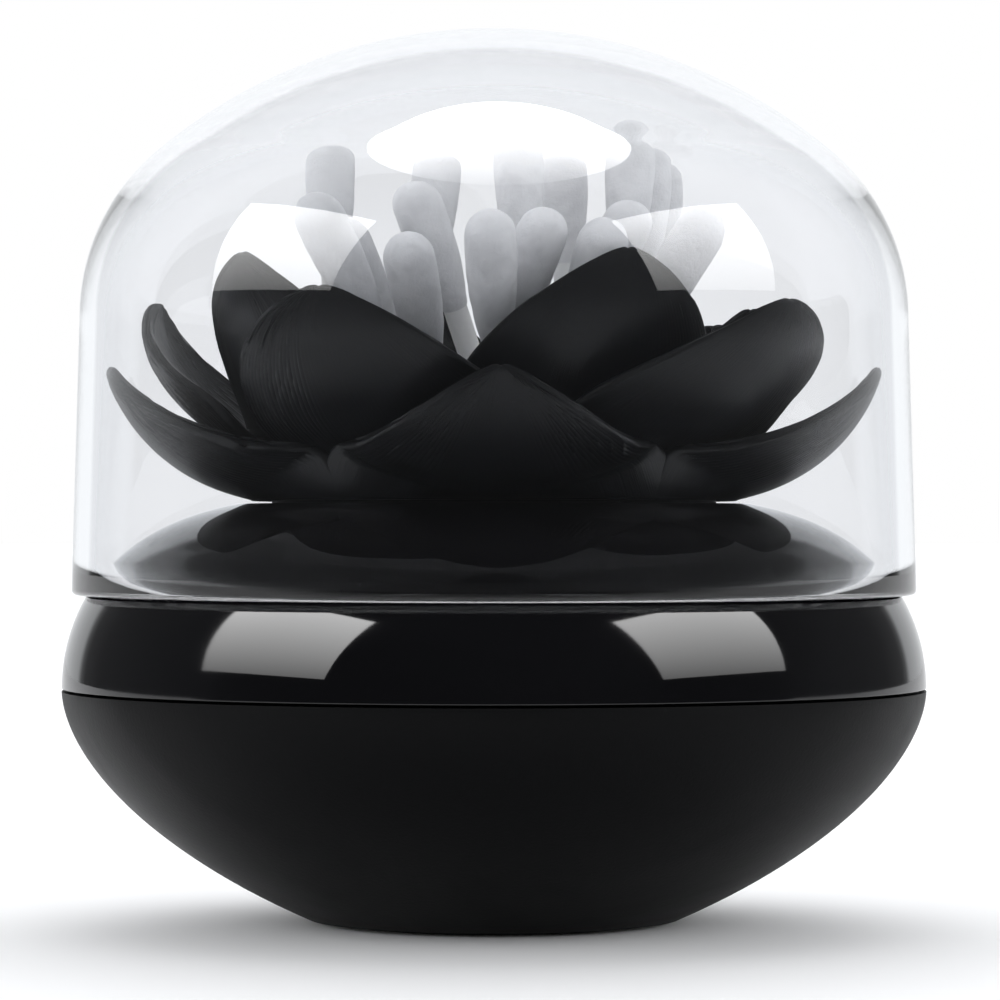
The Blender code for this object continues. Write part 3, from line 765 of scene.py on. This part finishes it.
class Finish:
    """A material on its way: its Principled shader and short ways to add and join nodes."""

    def __init__(self, name, **values):
        self.material = bpy.data.materials.new(name)
        self.material.use_nodes = True
        self.tree = self.material.node_tree
        self.shader = self.tree.nodes["Principled BSDF"]
        for label, value in values.items():
            self.shader.inputs[label.replace("_", " ")].default_value = value
        self.place = self.tree.nodes.new("ShaderNodeTexCoord").outputs["Object"]

    def node(self, kind, **inputs):
        return add_node(self.tree, kind, **inputs)

    def join(self, output, target):
        self.tree.links.new(output, target)

    def grain(self, scale, depth):
        """Moulded grain that lies on the surface. Gives its mask."""
        node = self.group(GRAIN, Scale=scale, Depth=depth)
        self.join(node.outputs["Normal"], self.shader.inputs["Normal"])
        return node.outputs["Grain"]

    def smudges(self, scale):
        return self.group(SMUDGES, Scale=scale).outputs["Smudge"]

    def group(self, group, **inputs):
        node = self.node("ShaderNodeGroup")
        node.node_tree = group
        for name, value in inputs.items():
            node.inputs[name].default_value = value
        self.join(self.place, node.inputs["Place"])
        return node

    def roughness(self, mask, low, high):
        """Roughness from low to high by a mask."""
        span = self.node("ShaderNodeMapRange", To_Min=low, To_Max=high)
        self.join(mask, span.inputs["Value"])
        self.join(span.outputs["Result"], self.shader.inputs["Roughness"])

    def colour(self, mask, low, high):
        """Colours from low to high by a mask."""
        mix = self.node("ShaderNodeMix")
        mix.data_type = "RGBA"
        for socket, value in zip([i for i in mix.inputs if i.type == "RGBA"], (low, high)):
            socket.default_value = (*value, 1)
        self.join(mask, mix.inputs["Factor"])
        self.join([o for o in mix.outputs if o.type == "RGBA"][0], self.shader.inputs["Base Color"])


def gloss_finish():
    finish = Finish("gloss_black", Specular_IOR_Level=0.55)
    smudges = finish.smudges(scale=45.0)
    finish.grain(scale=420.0, depth=0.0000012)
    finish.colour(smudges, (0.002, 0.002, 0.0026), (0.003, 0.003, 0.0038))
    finish.roughness(smudges, 0.03, 0.07)
    return finish.material


def matt_finish():
    finish = Finish("matt_black", Specular_IOR_Level=0.09)
    grain = finish.grain(scale=2600.0, depth=0.000018)
    finish.colour(grain, (0.0005, 0.0006, 0.0009), (0.0018, 0.002, 0.0024))
    finish.roughness(finish.smudges(scale=38.0), 0.4, 0.5)
    return finish.material


def petal_finish():
    """Satin plastic with hair-fine lines that run along each petal, from its own UV map."""
    finish = Finish("petal_black", Specular_IOR_Level=0.36)
    uv = finish.node("ShaderNodeUVMap")
    stretch = finish.node("ShaderNodeMapping", Scale=(170.0, 5.0, 1.0))
    lines = finish.node("ShaderNodeTexNoise", Scale=1.0, Detail=3.0)
    grain = finish.group(GRAIN, Scale=3200.0, Depth=0.000006)
    bump = finish.node("ShaderNodeBump", Strength=1.0, Distance=0.00003)
    finish.join(uv.outputs["UV"], stretch.inputs["Vector"])
    finish.join(stretch.outputs["Vector"], lines.inputs["Vector"])
    finish.join(lines.outputs["Fac"], bump.inputs["Height"])
    finish.join(grain.outputs["Normal"], bump.inputs["Normal"])
    finish.join(bump.outputs["Normal"], finish.shader.inputs["Normal"])
    finish.colour(lines.outputs["Fac"], (0.003, 0.0036, 0.0047), (0.0058, 0.0067, 0.0086))
    finish.roughness(lines.outputs["Fac"], 0.38, 0.5)
    return finish.material


def cup_finish():
    finish = Finish("cup_black", Specular_IOR_Level=0.3)
    grain = finish.grain(scale=1900.0, depth=0.00002)
    finish.colour(grain, (0.006, 0.006, 0.007), (0.012, 0.012, 0.013))
    finish.roughness(grain, 0.45, 0.6)
    return finish.material


def rubber_finish():
    finish = Finish("foot_rubber", Specular_IOR_Level=0.3)
    grain = finish.grain(scale=1400.0, depth=0.00004)
    finish.colour(grain, (0.010, 0.010, 0.010), (0.026, 0.025, 0.024))
    finish.roughness(grain, 0.7, 0.9)
    return finish.material


def clear_finish():
    finish = Finish("clear_plastic", IOR=1.49, Transmission_Weight=1.0, Roughness=0.0)
    finish.grain(scale=60.0, depth=0.000004)
    finish.colour(finish.smudges(scale=30.0), (0.965, 0.972, 0.988), (0.955, 0.964, 0.982))
    return finish.material


def cotton_finish():
    """Cotton wool with fibres and clumps, and painted shade that greys it further down, in place of the
    dark petals' shade.
    """
    values = {"Roughness": 1.0, "Specular_IOR_Level": 0.1, "Sheen_Weight": 0.25, "Sheen_Roughness": 0.6}
    finish = Finish("cotton_wool", **values)
    finish.grain(scale=2200.0, depth=0.0001)
    # Painted shade: the colour darkens with falling height in place of the petals' shade, and the smudges
    # add random clump tone
    heights = finish.node("ShaderNodeSeparateXYZ")
    rise = finish.node("ShaderNodeMapRange", From_Min=COTTON_SHADE_DEEPEST_Z * MM, From_Max=COTTON_SHADE_ENDS_Z * MM)
    white = finish.node("ShaderNodeMath")
    white.operation = "MULTIPLY_ADD"
    white.inputs[1].default_value = -0.2
    finish.join(finish.place, heights.inputs["Vector"])
    finish.join(heights.outputs["Z"], rise.inputs["Value"])
    finish.join(finish.smudges(scale=420.0), white.inputs[0])
    finish.join(rise.outputs["Result"], white.inputs[2])
    finish.colour(white.outputs[0], (0.5, 0.505, 0.52), (0.94, 0.94, 0.945))
    return finish.material


def paper_finish():
    finish = Finish("stick_paper", Specular_IOR_Level=0.3)
    grain = finish.grain(scale=900.0, depth=0.00003)
    finish.colour(grain, (0.8, 0.8, 0.79), (0.88, 0.88, 0.87))
    finish.roughness(grain, 0.6, 0.75)
    return finish.material


# Studio

# Camera
CAMERA_AT = (0.6, -474.7, 42.5)
CAMERA_LENS = 169.2
CAMERA_SENSOR = 36.0

# How bright the studio is in a reflection, from the front (0) to behind the holder (1), in gloss and in the
# lid's wall
STUDIO_IN_GLOSS = [(0, 0.05), (0.32, 0.05), (0.6, 0.1), (0.8, 0.1), (0.87, 0.14), (0.888, 0.3), (0.905, 1)]
STUDIO_IN_LID = [(0, 0.05), (0.4, 0.12), (0.5, 0.3), (0.6, 0.75), (0.7, 1)]
STUDIO_TINT = (0.96, 0.98, 1.0)

# Light that falls on the holder, from all round, the front, both sides, and from above and behind. A focus
# is the power that narrows a light to its direction
LIGHT_TINT = (0.97, 0.98, 1.0)
ROUND_LIGHT = 0.08
FRONT_LIGHT = 1.8
FRONT_FOCUS = 4.0
SIDE_LIGHT = 3.1
SIDE_FOCUS = 4.0
HIGH_LIGHT = 3.5
HIGH_FOCUS = 5.0
HIGH_LIGHT_FROM = (0.0, 0.788, 0.616)

# Floor: how pale it is to light that falls on it, and how dark its front is in reflections, with its size
# and places in metres
FLOOR_SIZE = 8.0
FLOOR_PALE = 0.8
FLOOR_FRONT_IN_GLOSS = 0.08
FLOOR_FRONT_STARTS = -0.22
FLOOR_FRONT_FULL = -0.4

# Lamps in metres. The cards show in reflections only, and the softboxes light without showing
CARD_RADIANCE = 9.5
RIGHT_CARD_SHARE = 0.87
SIDE_LAMPS_CENTRE_Y = -0.035
SIDE_CARD_SIZE = (0.40, 0.36)
SIDE_CARD_AZIMUTH = 65.0
SIDE_CARD_DISTANCE = 0.50
SIDE_CARD_HEIGHT = 0.30
SIDE_CARD_FADE = (0.26, 1.1)
SIDE_SOFTBOX_RADIANCE = 0.25
TOP_CARD_AT = (0.01, -0.05, 0.62)
TOP_CARD_SIZE = (0.46, 0.52)
TOP_CARD_FADE = (0.12, 1.6)
TOP_SOFTBOX_AT = (0, -0.02, 0.62)
TOP_SOFTBOX_SIZE = (0.5, 0.5)
TOP_SOFTBOX_RADIANCE = 0.15


def make_floor():
    """A floor that keeps the shadow. Camera and lid see it white, and reflections see its front dark."""
    start_fresh()
    bpy.ops.mesh.primitive_plane_add(size=FLOOR_SIZE, location=(0, 0, 0))
    floor = bpy.context.object
    floor.name = "studio_floor"
    finish = Finish("studio_floor", Roughness=1.0, Specular_IOR_Level=0.0)
    path = finish.node("ShaderNodeLightPath")
    axes = finish.node("ShaderNodeSeparateXYZ")
    front = finish.node("ShaderNodeMapRange", From_Min=FLOOR_FRONT_STARTS, From_Max=FLOOR_FRONT_FULL)
    front_in_gloss = finish.node("ShaderNodeMath")
    front_in_gloss.operation = "MULTIPLY"
    shown = finish.node("ShaderNodeMapRange", To_Min=1.0, To_Max=FLOOR_FRONT_IN_GLOSS)
    seen = finish.node("ShaderNodeMath")
    seen.operation = "LESS_THAN"
    seen.inputs[1].default_value = 0.5
    pale = finish.node("ShaderNodeMapRange", To_Min=FLOOR_PALE)
    finish.join(finish.place, axes.inputs["Vector"])
    finish.join(axes.outputs["Y"], front.inputs["Value"])
    finish.join(front.outputs["Result"], front_in_gloss.inputs[0])
    finish.join(path.outputs["Is Glossy Ray"], front_in_gloss.inputs[1])
    finish.join(front_in_gloss.outputs[0], shown.inputs["Value"])
    finish.join(path.outputs["Is Diffuse Ray"], seen.inputs[0])
    finish.join(seen.outputs[0], pale.inputs["Value"])
    finish.join(shown.outputs["Result"], pale.inputs["To Max"])
    finish.join(pale.outputs["Result"], finish.shader.inputs["Base Color"])
    floor.data.materials.append(finish.material)


def make_world():
    """White to the camera and through the lid. Reflections show a studio that is brightest at the back."""
    world = bpy.data.worlds.new("studio")
    bpy.context.scene.world = world
    world.use_nodes = True
    tree = world.node_tree
    tree.nodes.clear()
    output = tree.nodes.new("ShaderNodeOutputWorld")
    path = tree.nodes.new("ShaderNodeLightPath")
    place = tree.nodes.new("ShaderNodeTexCoord")
    axes = tree.nodes.new("ShaderNodeSeparateXYZ")
    tree.links.new(place.outputs["Generated"], axes.inputs["Vector"])

    def maths(operation, a, b):
        node = tree.nodes.new("ShaderNodeMath")
        node.operation = operation
        for socket, value in zip(node.inputs, (a, b)):
            if isinstance(value, (int, float)):
                socket.default_value = value
            else:
                tree.links.new(value, socket)
        return node.outputs[0]

    def background(colour, strength=1.0):
        node = tree.nodes.new("ShaderNodeBackground")
        for socket, value in zip(node.inputs, (colour, strength)):
            if isinstance(value, bpy.types.NodeSocket):
                tree.links.new(value, socket)
            else:
                socket.default_value = value
        return node.outputs[0]

    def choose(mask, without, with_mask):
        node = tree.nodes.new("ShaderNodeMixShader")
        for socket, output in zip(node.inputs, (mask, without, with_mask)):
            tree.links.new(output, socket)
        return node.outputs[0]

    no_gloss = maths("LESS_THAN", path.outputs["Glossy Depth"], 0.5)
    no_diffuse = maths("LESS_THAN", path.outputs["Diffuse Depth"], 0.5)
    straight = maths("MULTIPLY", no_gloss, no_diffuse)
    through = maths("MULTIPLY", path.outputs["Is Transmission Ray"], straight)
    seen = maths("MAXIMUM", path.outputs["Is Camera Ray"], through)
    gloss_only = maths("MULTIPLY", maths("SUBTRACT", 1.0, no_gloss), no_diffuse)
    off_two = maths("ABSOLUTE", maths("SUBTRACT", path.outputs["Transmission Depth"], 2.0), 0.0)
    in_wall = maths("LESS_THAN", off_two, 0.5)  # light that has gone into the lid's wall and out again
    backwards = maths("MULTIPLY", maths("ADD", axes.outputs["Y"], 1.0), 0.5)

    def levels(stops):
        """The studio's brightness by direction, from its stops."""
        ramp = tree.nodes.new("ShaderNodeValToRGB")
        while len(ramp.color_ramp.elements) < len(stops):
            ramp.color_ramp.elements.new(0.5)
        for element, (position, level) in zip(ramp.color_ramp.elements, stops):
            element.position = position
            element.color = (*(level * share for share in STUDIO_TINT), 1)
        tree.links.new(backwards, ramp.inputs["Fac"])
        return background(ramp.outputs["Color"])

    high = tree.nodes.new("ShaderNodeVectorMath")
    high.operation = "DOT_PRODUCT"
    high.inputs[1].default_value = HIGH_LIGHT_FROM
    tree.links.new(place.outputs["Generated"], high.inputs[0])
    to_high = maths("MAXIMUM", high.outputs["Value"], 0.0)
    to_front = maths("MAXIMUM", maths("MULTIPLY", axes.outputs["Y"], -1.0), 0.0)
    to_side = maths("ABSOLUTE", axes.outputs["X"], 0.0)
    glow = ROUND_LIGHT
    for towards, focus, level in (
        (to_high, HIGH_FOCUS, HIGH_LIGHT),
        (to_front, FRONT_FOCUS, FRONT_LIGHT),
        (to_side, SIDE_FOCUS, SIDE_LIGHT),
    ):
        share = maths("POWER", towards, focus)
        glow = maths("ADD", maths("MULTIPLY", share, level), glow)
    light = background((*LIGHT_TINT, 1), glow)
    lit = choose(gloss_only, light, choose(in_wall, levels(STUDIO_IN_GLOSS), levels(STUDIO_IN_LID)))
    final = choose(seen, lit, background((1, 1, 1, 1)))
    tree.links.new(final, output.inputs["Surface"])


def place_light(name, position, aim, width, height, radiance, shape="RECTANGLE"):
    """An area lamp of a given radiance, so that its size doesn't change how bright its reflection is."""
    data = bpy.data.lights.new(name, "AREA")
    data.shape = shape
    data.size = width
    data.size_y = height
    area = width * height * (math.pi / 4 if shape == "ELLIPSE" else 1)
    data.energy = radiance * math.pi * area
    lamp = bpy.data.objects.new(name, data)
    bpy.context.scene.collection.objects.link(lamp)
    turn = (Vector(aim) - Vector(position)).to_track_quat("-Z", "Y").to_matrix().to_4x4()
    lamp.matrix_world = Matrix.Translation(position) @ turn
    lamp.visible_camera = False
    lamp.visible_transmission = False
    return lamp


def fade_card(card, low, high):
    """Lets a card fade across its height, as a lit cloth does, and keeps it to reflections."""
    card.visible_diffuse = False
    card.data.use_nodes = True
    tree = card.data.node_tree
    place = tree.nodes.new("ShaderNodeNewGeometry")
    axes = tree.nodes.new("ShaderNodeSeparateXYZ")
    fade = tree.nodes.new("ShaderNodeMapRange")
    fade.inputs["To Min"].default_value, fade.inputs["To Max"].default_value = low, high
    tree.links.new(place.outputs["Parametric"], axes.inputs["Vector"])
    tree.links.new(axes.outputs["Y"], fade.inputs["Value"])
    tree.links.new(fade.outputs["Result"], tree.nodes["Emission"].inputs["Strength"])


def make_lights():
    """A card and a softbox at each front corner, and both overhead."""
    azimuth = math.radians(SIDE_CARD_AZIMUTH)
    y = SIDE_LAMPS_CENTRE_Y - SIDE_CARD_DISTANCE * math.cos(azimuth)
    for side, name, share in ((-1, "left", 1.0), (1, "right", RIGHT_CARD_SHARE)):
        position = (side * SIDE_CARD_DISTANCE * math.sin(azimuth), y, SIDE_CARD_HEIGHT)
        aim = (side * 0.01, -0.02, 0.04)
        card = place_light(f"card_{name}", position, aim, *SIDE_CARD_SIZE, CARD_RADIANCE * share)
        fade_card(card, *SIDE_CARD_FADE)
        aim = (0, 0, 0.04)
        lamp = place_light(f"softbox_{name}", position, aim, *SIDE_CARD_SIZE, SIDE_SOFTBOX_RADIANCE)
        lamp.visible_glossy = False
    aim = (*TOP_CARD_AT[:2], 0)
    card = place_light("card_top", TOP_CARD_AT, aim, *TOP_CARD_SIZE, CARD_RADIANCE, "ELLIPSE")
    fade_card(card, *TOP_CARD_FADE)
    aim = (0, 0, 0)
    lamp = place_light("softbox_top", TOP_SOFTBOX_AT, aim, *TOP_SOFTBOX_SIZE, TOP_SOFTBOX_RADIANCE)
    lamp.visible_glossy = False


def make_camera():
    data = bpy.data.cameras.new("camera")
    data.lens = CAMERA_LENS
    data.sensor_width = CAMERA_SENSOR
    data.clip_start = 0.01
    camera = bpy.data.objects.new("camera", data)
    camera.location = [value * MM for value in CAMERA_AT]
    camera.rotation_euler = (math.radians(90), 0, 0)
    bpy.context.scene.collection.objects.link(camera)
    bpy.context.scene.camera = camera


scene = bpy.context.scene
scene.view_settings.view_transform = "Standard"
scene.cycles.glossy_bounces = 24  # light that runs round inside the lid's wall comes out again
scene.cycles.max_bounces = 32

make_camera()
make_floor()
make_world()
make_lights()

petal_black = petal_finish()
turned = [  # name, profile, edge rounding, slot, CAD node, finish
    ("foot_pad_rubber", pad_profile(), 0.1, "foot_rubber", "foot_pad", rubber_finish()),
    ("bowl_matt", bowl_profile(), 0.05, "matt_black", "lower_bowl", matt_finish()),
    ("shell_gloss", shell_profile(), 0.03, "gloss_black", "upper_shell", gloss_finish()),
    ("cup_moulded", cup_profile(), 0.2, "cup_black", "swab_cup", cup_finish()),
]
for name, profile, rounding, slot, node, finish in turned:
    fit_piece(turn_profile(name, profile, rounding=rounding), "base", [node], [finish])
for tier in TIERS:
    fit_piece(make_tier(tier), "base", [f"{tier.name}_petals"], [petal_black])
make_swabs(cotton_finish(), paper_finish())
lid = turn_profile("lid_clear", lid_profile(), steps=LID_STEPS)
fit_piece(lid, "lid", ["clear_lid"], [clear_finish()])
